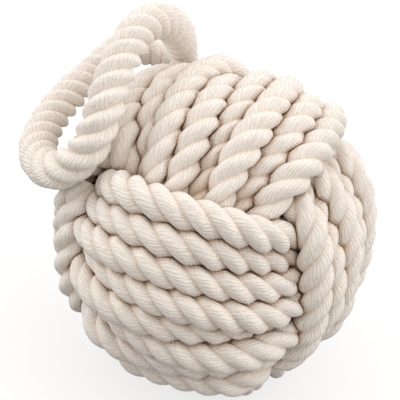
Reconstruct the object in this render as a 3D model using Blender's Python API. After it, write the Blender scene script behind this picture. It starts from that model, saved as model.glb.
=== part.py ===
"""Rope knot doorstop: a monkey's fist of laid cotton rope round a bag of sand.

The ball is wound in three sets of eight turns, each set square to the other two, and
each lies outside on two faces and under the next set on two. The rope starts against
the bag, winds the first, second and third turns in one length, comes out at a corner,
makes the handle loop and is tucked in again beside itself.

Units are metres. +X is right, -Y is front, +Z is up. The ball stands on a flat that
its weight has pressed into the lowest rows. The origin is the middle of the flat that
is nearest to the ball's own middle.
"""

import math

import bmesh
import bpy
import numpy as np
from mathutils import Matrix, Vector

# Rope sizes: as bought, squeezed in a row that shows, and squeezed under the rows.
ROPE_DIAMETER = 0.0152
ROW_DIAMETER = 0.0117
UNDER_DIAMETER = 0.0086
MOUTH_DIAMETER = 0.0112
TURN_GAP = 0.0008
ROW_PITCH = 0.0130

# Winding: turns in each set, points in each turn, and where a turn goes under.
TURNS = 8
POINTS_PER_TURN = 24
FACE_HALF_ANGLE = math.radians(45.6)
DIVE_START = math.radians(36.0)
DIVE_END = math.radians(58.0)
ROWS_DRAW_IN = 0.20
SET_START = (math.radians(-60.0), math.radians(-30.0), math.radians(-30.0))
SET_END = math.radians(285.0)
LINK_SHARES = (0.25, 0.75)

# Drawing the knot tight, from loose rings to a hard ball.
LOOSE_SCALE = 2.14
LOOSE_LAYER = 3.0
DRAW_STEPS = 32
DRAW_ROUNDS = 6
PRESS_STEPS = 24
PRESS_BULGE = 1.16
SETTLE_ROUNDS = 120
SAMPLES = 4
NEIGHBOURS_APART = 3.0

# The bag of sand inside.
CORE_DIAMETER = 0.075
CORE_CLEARANCE = 0.0003
BAG_WALL = 0.0012
NECK_DIAMETER = 0.018
NECK_LENGTH = 0.009
TIE_DIAMETER = 0.0025
FIT_GAP = 0.0003

# The handle loop, from the middle of the ball, from one root to the other.
HANDLE_ROUTE = (
    (-0.0431, 0.0499, 0.0617),
    (-0.0409, 0.0447, 0.0676),
    (-0.0381, 0.0293, 0.0796),
    (-0.0402, 0.0182, 0.0873),
    (-0.0430, 0.0079, 0.0909),
    (-0.0455, -0.0024, 0.0912),
    (-0.0468, -0.0115, 0.0890),
    (-0.0473, -0.0242, 0.0829),
    (-0.0472, -0.0344, 0.0752),
    (-0.0469, -0.0416, 0.0669),
    (-0.0478, -0.0463, 0.0583),
    (-0.0506, -0.0488, 0.0506),
    (-0.0570, -0.0490, 0.0419),
    (-0.0660, -0.0449, 0.0348),
    (-0.0765, -0.0348, 0.0312),
    (-0.0833, -0.0219, 0.0318),
    (-0.0851, -0.0077, 0.0355),
    (-0.0838, 0.0050, 0.0407),
    (-0.0810, 0.0167, 0.0465),
    (-0.0777, 0.0266, 0.0512),
    (-0.0732, 0.0360, 0.0538),
    (-0.0657, 0.0467, 0.0538),
    (-0.0585, 0.0546, 0.0505),
    (-0.0543, 0.0587, 0.0478),
)
HANDLE_POINTS = 44
# Where the rope comes out of the ball and goes back in, inside the corner.
ROOT_OUT = ((-0.024, 0.040, 0.046), (-0.034, 0.043, 0.052))
ROOT_BACK = ((-0.043, 0.046, 0.043), (-0.034, 0.040, 0.037))

# Each set of turns: the face it starts on, the face it goes under, and the way its
# rows follow each other.
SET_AXES = (
    ((0, 0, -1), (0, 1, 0), (-1, 0, 0)),
    ((0, -1, 0), (1, 0, 0), (0, 0, 1)),
    ((-1, 0, 0), (0, 0, -1), (0, 1, 0)),
)
SET_NAMES = ("first_turns", "second_turns", "third_turns")

COTTON = (0.84, 0.75, 0.63)
CANVAS = (0.72, 0.66, 0.54)
SAND = (0.62, 0.50, 0.34)
TWINE = (0.58, 0.45, 0.28)


def clear_scene():
    """Remove what the file holds at the start."""
    for item in list(bpy.data.objects):
        bpy.data.objects.remove(item, do_unlink=True)


def material(name, colour, roughness):
    """A plain material with a colour and a roughness."""
    made = bpy.data.materials.new(name)
    made.use_nodes = True
    shader = made.node_tree.nodes["Principled BSDF"]
    shader.inputs["Base Color"].default_value = (*colour, 1.0)
    shader.inputs["Roughness"].default_value = roughness
    return made


def ease(share):
    """A smooth step from 0 to 1."""
    share = np.clip(share, 0.0, 1.0)
    return share * share * (3.0 - 2.0 * share)


def turn_angles(index):
    """The angles of one set's points, from its first to its last."""
    step = 2.0 * math.pi / POINTS_PER_TURN
    count = round(((TURNS - 1) * 2.0 * math.pi + SET_END - SET_START[index]) / step)
    return SET_START[index] + step * np.arange(count + 1)


def depth_under(angles):
    """0 where a turn lies outside, 1 where it lies under another set."""
    lean = np.arcsin(np.abs(np.sin(angles)))
    return ease((lean - DIVE_START) / (DIVE_END - DIVE_START))


def set_route(index, outer, layer, draw_in, pitch):
    """The points of one set of turns laid round a ball."""
    out, under, side = (np.array(axis, float) for axis in SET_AXES[index])
    angles = turn_angles(index)
    lean = np.arcsin(np.abs(np.sin(angles))) / (0.5 * math.pi)
    row = angles / (2.0 * math.pi) - 0.5 * (TURNS - 1.0 / TURNS)
    offset = row * pitch * (1.0 - draw_in * ease(lean))
    reach = outer - layer * depth_under(angles)
    ring = np.sqrt(np.maximum(reach ** 2 - offset ** 2, pitch ** 2))
    return (
        np.outer(ring * np.cos(angles), out)
        + np.outer(ring * np.sin(angles), under)
        + np.outer(offset, side)
    )


def set_radii(index):
    """The rope's half thickness along one set of turns."""
    under = depth_under(turn_angles(index))
    return 0.5 * (ROW_DIAMETER + (UNDER_DIAMETER - ROW_DIAMETER) * under)


class Knot:
    """The whole rope of the ball as one row of points, with its half thickness."""

    def __init__(self):
        self.pitch = ROW_PITCH
        self.outer = TURNS * self.pitch / (2.0 * math.sin(FACE_HALF_ANGLE))
        self.layer = 0.5 * (ROW_DIAMETER + UNDER_DIAMETER) + TURN_GAP
        self.core = 0.5 * CORE_DIAMETER + CORE_CLEARANCE
        self.starts = []
        self.ends = []
        radii = []
        for index in range(3):
            own = set_radii(index)
            if radii:
                radii.append(np.full(len(LINK_SHARES), 0.5 * UNDER_DIAMETER))
            self.starts.append(sum(len(part) for part in radii))
            radii.append(own)
            self.ends.append(sum(len(part) for part in radii))
        mouth = 0.5 * MOUTH_DIAMETER
        under = 0.5 * UNDER_DIAMETER
        middle = 0.5 * (mouth + under)
        self.root_out = self.ends[-1]
        radii.append(np.array([under, middle, mouth]))
        self.root_back = self.root_out + 3
        radii.append(np.array([mouth, middle, under]))
        self.radii = np.concatenate(radii)
        self.points = None

    def root_points(self, scale):
        """The rope's way out at the corner and its way back in."""
        out_end, back_end = handle_ends()
        way_out = [*ROOT_OUT, out_end]
        way_back = [back_end, *ROOT_BACK]
        return scale * np.array([*way_out, *way_back], float)

    def laid(self, share):
        """The whole route, from loose at 0 to close at 1."""
        loose = self.outer * LOOSE_SCALE
        outer = loose + (self.outer - loose) * share
        wide = self.layer * LOOSE_LAYER
        layer = wide + (self.layer - wide) * share
        parts = []
        for index in range(3):
            route = set_route(index, outer, layer, ROWS_DRAW_IN * share, self.pitch)
            if parts:
                steps = np.array(LINK_SHARES)[:, None]
                parts.append(parts[-1][-1] * (1.0 - steps) + route[0] * steps)
            parts.append(route)
        parts.append(self.root_points(outer / self.outer))
        return np.concatenate(parts)

    def samples(self):
        """Places along the rope: the point before each, the share past it."""
        before = np.repeat(np.arange(len(self.radii) - 1), SAMPLES)
        share = np.tile(np.arange(SAMPLES) / SAMPLES, len(self.radii) - 1)
        keep = before != self.root_back - 1
        return before[keep], share[keep]

    def near_pairs(self, points, before, share, reach):
        """Pairs of places that lie within reach and aren't neighbours on the rope."""
        spots = points[before] * (1.0 - share)[:, None] + points[before + 1] * share[:, None]
        square = (spots ** 2).sum(axis=1)
        apart = square[:, None] + square[None, :] - 2.0 * spots @ spots.T
        first, second = np.nonzero(np.triu(apart < reach ** 2, 1))
        along = (before + share)[second] - (before + share)[first]
        over_break = (before[first] < self.root_back) & (before[second] >= self.root_back)
        keep = (along > NEIGHBOURS_APART) | over_break
        return first[keep], second[keep]

    def push_apart(self, points, rounds, pull, stiffness, held=None):
        """Move touching turns apart while the rope is pulled and keeps its curve."""
        before, share = self.samples()
        half = self.radii[before] * (1.0 - share) + self.radii[before + 1] * share
        reach = (ROW_DIAMETER + TURN_GAP) * 1.25
        first, second = self.near_pairs(points, before, share, reach)
        need = half[first] + half[second] + TURN_GAP
        inner = self.core + self.radii
        for _ in range(rounds):
            spots = points[before] * (1.0 - share)[:, None]
            spots += points[before + 1] * share[:, None]
            line = spots[first] - spots[second]
            length = np.linalg.norm(line, axis=1) + 1e-9
            tight = need > length
            move = ((need - length) / length)[tight, None] * line[tight]
            push = np.zeros_like(points)
            weight = np.full(len(points), 1e-9)
            for places, sign in ((first[tight], 0.5), (second[tight], -0.5)):
                for step, part in ((0, 1.0 - share[places]), (1, share[places])):
                    np.add.at(push, before[places] + step, sign * move * part[:, None])
                    np.add.at(weight, before[places] + step, part)
            points = points + 1.3 * push / np.maximum(weight, 1.0)[:, None]
            bend = np.zeros_like(points)
            bend[1:-1] = 0.5 * (points[:-2] + points[2:]) - points[1:-1]
            bend[self.root_back - 1:self.root_back + 1] = 0.0
            change = bend.copy()
            change[1:-1] -= 0.5 * (bend[:-2] + bend[2:])
            points = points + pull * bend + stiffness * change
            if held is not None:
                points += 0.02 * (held - points)
            else:
                self.hold_roots(points)
            far = np.linalg.norm(points, axis=1)
            low = far < inner
            points[low] *= (inner[low] / far[low])[:, None]
        return points

    def hold_roots(self, points):
        """Keep the rope's two ends at the corner where the handle meets them."""
        fixed = self.root_points(1.0)
        points[self.root_out + 1:self.root_back + 2] = fixed[1:5]

    def draw_tight(self):
        """Draw the loose rings down onto the bag and press them into a ball."""
        laid = self.laid(0.0)
        points = laid.copy()
        for step in range(1, DRAW_STEPS + 1):
            closer = self.laid(step / DRAW_STEPS)
            points = points + (closer - laid)
            laid = closer
            points = self.push_apart(points, DRAW_ROUNDS, 0.0, 0.10, laid)
        for limit in np.linspace(self.outer * PRESS_BULGE, self.outer, PRESS_STEPS):
            for _ in range(3):
                far = np.linalg.norm(points, axis=1)
                high = far > limit
                high[self.root_out:] = False
                points[high] *= (0.5 + 0.5 * limit / far[high])[:, None]
                points = self.push_apart(points, 4, 0.005, 0.08)
        for _ in range(SETTLE_ROUNDS // 4):
            points = self.push_apart(points, 4, 0.0, 0.01)
        self.points = points

    def least_gap(self):
        """The least gap that the rope keeps to itself, and to each set's own turns."""
        before, share = self.samples()
        half = self.radii[before] * (1.0 - share) + self.radii[before + 1] * share
        first, second = self.near_pairs(self.points, before, share, 2.0 * ROW_DIAMETER)
        spots = self.points[before] * (1.0 - share)[:, None]
        spots += self.points[before + 1] * share[:, None]
        gap = np.linalg.norm(spots[first] - spots[second], axis=1)
        gap -= half[first] + half[second]
        least = gap.argmin()
        own = []
        for start, end in zip(self.starts, self.ends):
            inside = (before[first] >= start) & (before[second] < end)
            own.append(float(gap[inside].min()))
        return float(gap[least]), spots[first[least]], spots[second[least]], own

    def length(self):
        """The rope's length in the ball."""
        steps = np.linalg.norm(np.diff(self.points[:self.root_back], axis=0), axis=1)
        return float(steps.sum())


def handle_ends():
    """Where the ball's rope meets the two round ends of the handle."""
    reach = 0.5 * ROPE_DIAMETER + FIT_GAP
    ends = []
    for root, inside in ((HANDLE_ROUTE[0], ROOT_OUT[-1]), (HANDLE_ROUTE[-1], ROOT_BACK[0])):
        root, inside = Vector(root), Vector(inside)
        ends.append(root + (inside - root).normalized() * reach)
    return ends


def smooth_route(points, count):
    """A smooth curve through the points, cut into even steps."""
    points = np.array(points, float)
    padded = np.concatenate((2 * points[:1] - points[1:2], points, 2 * points[-1:] - points[-2:-1]))
    fine = []
    for index in range(len(points) - 1):
        before, start, end, after = padded[index:index + 4]
        for share in np.arange(12) / 12.0:
            fine.append(0.5 * (
                2.0 * start
                + (end - before) * share
                + (2.0 * before - 5.0 * start + 4.0 * end - after) * share ** 2
                + (3.0 * start - before - 3.0 * end + after) * share ** 3
            ))
    fine = np.array([*fine, points[-1]])
    run = np.concatenate(([0.0], np.cumsum(np.linalg.norm(np.diff(fine, axis=0), axis=1))))
    even = np.linspace(0.0, run[-1], count)
    return np.stack([np.interp(even, run, fine[:, axis]) for axis in range(3)], axis=1)


def rope_object(name, points, radii, sides_level, finish):
    """A length of rope as a round tube with closed ends."""
    curve = bpy.data.curves.new(name, "CURVE")
    curve.dimensions = "3D"
    curve.bevel_depth = float(max(radii))
    curve.bevel_resolution = sides_level
    curve.use_fill_caps = True
    spline = curve.splines.new("POLY")
    spline.points.add(len(points) - 1)
    for spot, place, half in zip(spline.points, points, radii):
        spot.co = (*place, 1.0)
        spot.radius = float(half) / curve.bevel_depth
    curve.materials.append(finish)
    made = bpy.data.objects.new(name, curve)
    bpy.context.collection.objects.link(made)
    return made


def cut_flat(rope, height):
    """Turn a rope into a mesh and cut it flat where it stands."""
    bpy.context.view_layer.update()
    graph = bpy.context.evaluated_depsgraph_get()
    mesh = bpy.data.meshes.new_from_object(rope.evaluated_get(graph), depsgraph=graph)
    shape = bmesh.new()
    shape.from_mesh(mesh)
    bmesh.ops.remove_doubles(shape, verts=shape.verts, dist=1e-6)
    cut = bmesh.ops.bisect_plane(
        shape,
        geom=shape.verts[:] + shape.edges[:] + shape.faces[:],
        plane_co=(0.0, 0.0, height),
        plane_no=(0.0, 0.0, -1.0),
        clear_outer=True,
        dist=1e-7,
    )
    rim = [item for item in cut["geom_cut"] if isinstance(item, bmesh.types.BMEdge)]
    feet = bmesh.ops.holes_fill(shape, edges=rim, sides=0)["faces"]
    for foot in feet:
        spot = foot.calc_center_median_weighted()
        print(f"foot at {spot.x * 1000:.2f}, {spot.y * 1000:.2f} mm, {foot.calc_area() * 1e6:.0f} mm2")
    nearest = min((foot.calc_center_median_weighted() for foot in feet), key=lambda spot: spot.xy.length)
    bmesh.ops.recalc_face_normals(shape, faces=shape.faces)
    shape.to_mesh(mesh)
    shape.free()
    name = rope.name
    bpy.data.objects.remove(rope, do_unlink=True)
    made = bpy.data.objects.new(name, mesh)
    bpy.context.collection.objects.link(made)
    return made, nearest


def turned(name, profile, segments, finish):
    """A solid turned about Z from a profile of radius and height."""
    shape = bmesh.new()
    line = [shape.verts.new((radius, 0.0, height)) for radius, height in profile]
    edges = [shape.edges.new(pair) for pair in zip(line, line[1:])]
    bmesh.ops.spin(
        shape,
        geom=line + edges,
        cent=(0.0, 0.0, 0.0),
        axis=(0.0, 0.0, 1.0),
        angle=2.0 * math.pi,
        steps=segments,
        use_merge=True,
    )
    bmesh.ops.remove_doubles(shape, verts=shape.verts, dist=1e-6)
    bmesh.ops.recalc_face_normals(shape, faces=shape.faces)
    mesh = bpy.data.meshes.new(name)
    shape.to_mesh(mesh)
    shape.free()
    mesh.materials.append(finish)
    mesh.shade_smooth()
    made = bpy.data.objects.new(name, mesh)
    bpy.context.collection.objects.link(made)
    return made


def arc(radius, start, end, count):
    """Points of a turned profile on a round, angles from straight up."""
    angles = np.linspace(start, end, count)
    return [(radius * math.sin(turn), radius * math.cos(turn)) for turn in angles]


def make_core(canvas, sand, twine):
    """The sewn bag with its gathered neck, the sand in it and the tie round it."""
    bag = 0.5 * CORE_DIAMETER
    neck = 0.5 * NECK_DIAMETER
    inside = bag - BAG_WALL
    top = bag - NECK_LENGTH
    shoulder = math.acos(top / bag)
    inner_top = top - BAG_WALL
    inner_shoulder = math.acos(inner_top / inside)
    outer_wall = [(neck, bag - 0.5 * BAG_WALL), (neck, top)]
    outer_wall += arc(bag, shoulder, math.pi, 15)
    bore = neck - BAG_WALL
    inner_wall = arc(inside, math.pi, inner_shoulder, 15)
    inner_wall += [(bore, inner_top), (bore, bag - 0.5 * BAG_WALL)]
    shell = turned("core_bag", outer_wall + inner_wall + [outer_wall[0]], 20, canvas)
    fill = inside - FIT_GAP
    heap = arc(fill, inner_shoulder, math.pi, 15)
    level = fill * math.cos(inner_shoulder)
    load = turned("sand_fill", [(0.0, level), *heap], 20, sand)
    tie = 0.5 * TIE_DIAMETER
    ring = []
    for turn in np.linspace(0.0, 2.0 * math.pi, 9):
        ring.append((neck + FIT_GAP + tie + tie * math.cos(turn),
                     top + 0.5 * NECK_LENGTH - tie * math.sin(turn)))
    band = turned("bag_tie", ring, 20, twine)
    return [shell, load, band]


def make_knot(knot, cotton):
    """The three sets of turns, which meet end to end."""
    made = []
    runs = []
    for index in range(len(SET_NAMES)):
        start = knot.starts[index] - (1 if index else 0)
        end = knot.ends[index] + (1 if index < 2 else 3)
        runs.append((list(knot.points[start:end]), list(knot.radii[start:end])))
    for (early, early_radii), (late, late_radii) in zip(runs, runs[1:]):
        run = late[0] - early[-1]
        run /= np.linalg.norm(run)
        middle = 0.5 * (late[0] + early[-1])
        early[-1] = middle - UNDER_DIAMETER * run
        late[0] = middle + UNDER_DIAMETER * run
        step = 0.5 * FIT_GAP * run
        early.append(middle - step)
        early_radii.append(early_radii[-1])
        late.insert(0, middle + step)
        late_radii.insert(0, late_radii[0])
    for name, (points, radii) in zip(SET_NAMES, runs):
        made.append(rope_object(name, points, radii, 1, cotton))
    back = knot.points[knot.root_back:]
    made.append(rope_object("tucked_end", back, knot.radii[knot.root_back:], 1, cotton))
    return made


def make_handle(cotton):
    """The loop, round at both ends so that it can swing there."""
    points = smooth_route(HANDLE_ROUTE, HANDLE_POINTS)
    half = 0.5 * ROPE_DIAMETER
    turns = np.radians((72.0, 48.0, 24.0))
    head = points[0] - points[1]
    head /= np.linalg.norm(head)
    tail = points[-1] - points[-2]
    tail /= np.linalg.norm(tail)
    start = [points[0] + head * half * math.sin(turn) for turn in turns]
    end = [points[-1] + tail * half * math.sin(turn) for turn in turns[::-1]]
    rounds = [half * math.cos(turn) for turn in turns]
    radii = [*rounds, *([half] * len(points)), *rounds[::-1]]
    return rope_object("handle_loop", [*start, *points, *end], radii, 2, cotton)


def main():
    """Build the doorstop and stand it on its flat."""
    clear_scene()
    cotton = material("laid cotton rope", COTTON, 0.9)
    canvas = material("unbleached canvas", CANVAS, 0.9)
    sand = material("dry sand", SAND, 0.95)
    twine = material("jute twine", TWINE, 0.9)
    knot = Knot()
    knot.draw_tight()
    gap, one, other, own = knot.least_gap()
    print(f"rope in the ball {knot.length():.2f} m, least gap {gap * 1000:.2f} mm")
    print("least gap within each set", [round(value * 1000, 2) for value in own])
    print("closest places", one.round(4), other.round(4))
    pieces = make_knot(knot, cotton)
    pieces += make_core(canvas, sand, twine)
    pieces.append(make_handle(cotton))
    bpy.context.view_layer.update()
    graph = bpy.context.evaluated_depsgraph_get()
    lowest = min(
        (piece.matrix_world @ vertex.co).z
        for piece in pieces
        for vertex in piece.evaluated_get(graph).to_mesh().vertices
    )
    base = lowest + ROW_DIAMETER / 10.0
    pieces[0], foot = cut_flat(pieces[0], base)
    shift = Vector((-foot.x, -foot.y, -base))
    for piece in pieces:
        piece.data.transform(Matrix.Translation(shift))
    root, other = (Vector(HANDLE_ROUTE[end]) for end in (0, -1))
    axis = (other - root).normalized()
    print("middle of the ball at", [round(value, 5) for value in shift])
    print("handle turns at", [round(value, 5) for value in root + shift])
    print("about", [round(value, 5) for value in axis])


main()
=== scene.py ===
"""Looks of the rope knot doorstop: laid cotton rope wound as a monkey's fist.

The rope's route round the ball is wound and drawn tight as the part's solids are, and
each stretch of it becomes a mesh of three twisted strands that press on the strands of
the turns beside them. The carrying loop is a rope of its own that comes out at a corner of
the ball. Inside are the canvas bag, its sand and the twine round its neck.
"""

import logging
import math
from dataclasses import dataclass, field
from enum import Enum

import bpy
import numpy as np
from mathutils import Matrix, Vector
from mathutils.kdtree import KDTree


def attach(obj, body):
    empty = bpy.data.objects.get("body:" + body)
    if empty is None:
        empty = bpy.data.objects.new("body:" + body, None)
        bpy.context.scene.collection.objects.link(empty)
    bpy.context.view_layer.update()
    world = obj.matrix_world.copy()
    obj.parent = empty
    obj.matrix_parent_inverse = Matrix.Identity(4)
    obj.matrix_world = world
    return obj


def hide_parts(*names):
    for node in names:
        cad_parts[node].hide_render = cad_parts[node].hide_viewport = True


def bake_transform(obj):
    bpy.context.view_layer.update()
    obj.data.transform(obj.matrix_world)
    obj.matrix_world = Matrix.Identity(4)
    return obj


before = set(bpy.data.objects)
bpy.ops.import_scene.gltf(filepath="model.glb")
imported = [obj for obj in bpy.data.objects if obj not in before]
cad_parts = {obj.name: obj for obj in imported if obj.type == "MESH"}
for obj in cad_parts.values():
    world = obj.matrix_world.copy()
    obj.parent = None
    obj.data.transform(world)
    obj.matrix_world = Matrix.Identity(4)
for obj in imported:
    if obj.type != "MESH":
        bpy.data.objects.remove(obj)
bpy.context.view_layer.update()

IMAGE_SIZE = 400
LOG = logging.getLogger("doorstop")

# The ball's middle, and its radius over the crests of the rope, in metres.
BALL_MIDDLE = (0.00221, -0.00723, 0.07478)
BALL_RADIUS = 0.0800

# Length of one wave of a Wave Texture at a scale of 1, in metres.
WAVE_LENGTH = 0.314

# Places of a Mix node's factor and two colours among its inputs, and of its mixed colour
# among its outputs.
MIX_FACTOR = 0
MIX_FIRST = 6
MIX_SECOND = 7
MIXED = 2

WHITE = (1.0, 1.0, 1.0, 1.0)


class Lay(Enum):
    """Length of one full turn of the strands, in metres, at even places on the rope."""

    ROWS = (0.0345,)
    LOOP = (0.0215, 0.0225, 0.0245, 0.0290, 0.0245, 0.0220, 0.0215)
    TWINE = (0.0060,)


def linear(hex_colour: str) -> tuple[float, float, float, float]:
    """Turn an sRGB hex colour into linear light.

    Args:
        hex_colour: Six hex digits, with or without a hash sign.

    Returns:
        Red, green, blue and alpha, each from 0 to 1.
    """
    digits = hex_colour.lstrip("#")
    channels = [int(digits[i : i + 2], 16) / 255.0 for i in (0, 2, 4)]
    light = [c / 12.92 if c <= 0.04045 else ((c + 0.055) / 1.055) ** 2.4 for c in channels]
    return (*light, 1.0)


def feed(tree: bpy.types.NodeTree, node: bpy.types.Node, values: dict) -> None:
    """Link or set inputs of a node.

    Args:
        tree: The node tree.
        node: The node.
        values: Input name or number to the socket or value that feeds it.
    """
    for name, value in values.items():
        if isinstance(value, bpy.types.NodeSocket):
            tree.links.new(value, node.inputs[name])
        else:
            node.inputs[name].default_value = value


def add_node(
    tree: bpy.types.NodeTree, kind: str, feeds: dict | tuple = (), **settings
) -> bpy.types.NodeOutputs:
    """Add a shader node with its settings and what feeds it.

    Args:
        tree: The node tree.
        kind: The node's type name, without its first word.
        feeds: What feeds its inputs, by name or number, or in their order.
        settings: The node's own properties.

    Returns:
        The new node's outputs.
    """
    node = tree.nodes.new(f"ShaderNode{kind}")
    for name, value in settings.items():
        setattr(node, name, value)
    feed(tree, node, feeds if isinstance(feeds, dict) else dict(enumerate(feeds)))
    return node.outputs


def new_material(name: str) -> bpy.types.Material:
    """Start a material that is made of nodes.

    Args:
        name: The material's name.

    Returns:
        The material.
    """
    made = bpy.data.materials.new(name)
    made.use_nodes = True
    return made


@dataclass(frozen=True)
class YarnFinish:
    """Laid rope of spun yarns: matt and finely ribbed, with light painted on its yarns' ridges and warm
    shade painted where little light gets in.

    The streaks are each a length in widths, a width in yarns and a detail.
    """

    name: str
    # The pale colour is partly random specks and partly light painted on the yarns' ridges; the groove
    # and crevice colours are painted shade.
    ridge_light_and_speck_colour: str
    body: str
    groove: str
    painted_crevice_shade: str
    yarn: float
    relief: float
    felt: float = 0.0009
    felt_detail: float = 2.0
    roughness: float = 0.95
    specular: float = 0.12
    sheen: float = 0.20
    sheen_roughness: float = 0.55
    drifts: tuple = (6.0, 2.2, 2.0)
    fibres: tuple = (3.5, 0.40, 1.0)
    blotches: tuple = (9.0, 5.0, 2.0)
    drift_yarns: float = 1.9
    ridge_power: float = 0.6
    felt_height: float = 1.6
    fibre_height: float = 0.8
    felt_tone: float = 0.50
    blotch_tone: float = 0.35
    # The ridge share paints light on the yarns' ridges and shade between them.
    ridge_light_tone: float = 0.50
    speck_tone: float = 0.75
    # Shares of the shade painted in the grooves between strands and of the brown shade painted where
    # turns touch.
    groove_shade_share: float = 0.6
    crevice_shade_share: float = 0.85

    def build(self) -> bpy.types.Material:
        """Make the material on the rope's own map, in metres along and across its yarns.

        Returns:
            The material.
        """
        made = new_material(self.name)
        tree = made.node_tree
        height, ridge, speck = self.surface(tree)
        bump = {"Height": height, "Strength": 1.0, "Distance": self.relief}
        # Shade is painted into the grooves between strands, where turns touch and deep in the ball, and
        # light on the yarns' ridges.
        groove = add_node(tree, "Attribute", attribute_name="groove")["Fac"]
        tuck_shade = add_node(tree, "Attribute", attribute_name="tuck_shade")["Fac"]
        faint = add_node(tree, "Math", (speck, self.speck_tone), operation="MULTIPLY")[0]
        ridge_light_and_speck_mask = add_node(tree, "Math", (ridge, self.ridge_light_tone, faint), operation="MULTIPLY_ADD")[0]
        shade_in_groove = add_node(tree, "Math", (groove, self.groove_shade_share), operation="MULTIPLY")[0]
        painted_shade = add_node(tree, "Math", (shade_in_groove, tuck_shade), operation="MAXIMUM")[0]
        share = (groove, self.crevice_shade_share, 1.0 - self.crevice_shade_share)
        inmost = add_node(tree, "Math", share, operation="MULTIPLY_ADD")[0]
        painted_crevice_mask = add_node(tree, "Math", (tuck_shade, inmost), operation="MULTIPLY")[0]
        colour = linear(self.body)
        for factor, other in ((ridge_light_and_speck_mask, self.ridge_light_and_speck_colour), (painted_shade, self.groove), (painted_crevice_mask, self.painted_crevice_shade)):
            sides = {MIX_FACTOR: factor, MIX_FIRST: colour, MIX_SECOND: linear(other)}
            colour = add_node(tree, "Mix", sides, data_type="RGBA")[MIXED]
        surface = {
            "Base Color": colour,
            "Normal": add_node(tree, "Bump", bump)["Normal"],
            "Roughness": self.roughness,
            "Specular IOR Level": self.specular,
            "Sheen Weight": self.sheen,
            "Sheen Roughness": self.sheen_roughness,
        }
        feed(tree, tree.nodes["Principled BSDF"], surface)
        return made

    def surface(self, tree: bpy.types.NodeTree) -> tuple:
        """Add the yarns, which stray a little, and the felt and fibres on them.

        Args:
            tree: The node tree.

        Returns:
            The sockets of the height, of the yarns' ridges and of the pale specks.
        """
        place = add_node(tree, "UVMap", uv_map="rope")["UV"]
        drifts, fibres, blotches = (
            self.streaks(tree, place, *each) for each in (self.drifts, self.fibres, self.blotches)
        )
        across = add_node(tree, "SeparateXYZ", {"Vector": place})["Y"]
        yarns = add_node(tree, "Math", (across, self.yarn), operation="DIVIDE")[0]
        yarns = add_node(tree, "Math", (drifts, self.drift_yarns, yarns), operation="MULTIPLY_ADD")[0]
        turns = add_node(tree, "Math", (yarns, math.pi), operation="MULTIPLY")[0]
        wave = add_node(tree, "Math", (turns,), operation="SINE")[0]
        wave = add_node(tree, "Math", (wave,), operation="ABSOLUTE")[0]
        ridge = add_node(tree, "Math", (wave, self.ridge_power), operation="POWER")[0]
        body = add_node(tree, "TexCoord")["Object"]
        grain = {"Vector": body, "Scale": 1.0 / self.felt, "Detail": self.felt_detail}
        felt = add_node(tree, "TexNoise", grain)["Fac"]
        low = add_node(tree, "Math", (fibres, self.fibre_height), operation="MULTIPLY")[0]
        fluff = add_node(tree, "Math", (felt, self.felt_height, low), operation="MULTIPLY_ADD")[0]
        height = add_node(tree, "Math", (fluff, ridge), operation="ADD")[0]
        faint = add_node(tree, "Math", (blotches, self.blotch_tone), operation="MULTIPLY")[0]
        speck = add_node(tree, "Math", (felt, self.felt_tone, faint), operation="MULTIPLY_ADD")[0]
        return height, ridge, speck

    def streaks(
        self,
        tree: bpy.types.NodeTree,
        place: bpy.types.NodeSocket,
        length: float,
        yarns: float,
        detail: float,
    ) -> bpy.types.NodeSocket:
        """Add noise drawn out along the yarns.

        Args:
            tree: The node tree.
            place: The socket of the rope's map.
            length: How many times longer than wide the streaks are.
            yarns: How many yarns wide they are.
            detail: The noise's detail.

        Returns:
            The noise's socket.
        """
        width = self.yarn * yarns
        scale = (1.0 / (width * length), 1.0 / width, 1.0)
        drawn = add_node(tree, "Mapping", {"Vector": place, "Scale": scale})["Vector"]
        noise = {"Vector": drawn, "Scale": 1.0, "Detail": detail}
        return add_node(tree, "TexNoise", noise, noise_dimensions="2D")["Fac"]


# Cotton yarn, spun, laid and left undyed: matt, with fine ribs, nearly white on random specks and, as
# painted light, on the yarns' ridges, with shade painted warm brown where little light gets in. A yarn of
# such rope is about 1 mm wide.
# Its fluff is about 0.1 mm, too fine to show, and is drawn as felt of 0.9 mm.
COTTON = YarnFinish(
    name="undyed spun cotton rope",
    ridge_light_and_speck_colour="#F5EFE9",
    body="#E8DFD6",
    groove="#E2CFBB",
    painted_crevice_shade="#BB946C",
    yarn=0.00095,
    relief=0.00026,
)

# Jute, spun into twine: browner and rougher than the cotton, with yarns of 0.4 mm; its light and shade
# are painted the same way, in browns.
JUTE = YarnFinish(
    name="jute twine",
    ridge_light_and_speck_colour="#BFA070",
    body="#A5834F",
    groove="#7A5B33",
    painted_crevice_shade="#553D20",
    yarn=0.0004,
    relief=0.00015,
)


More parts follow.
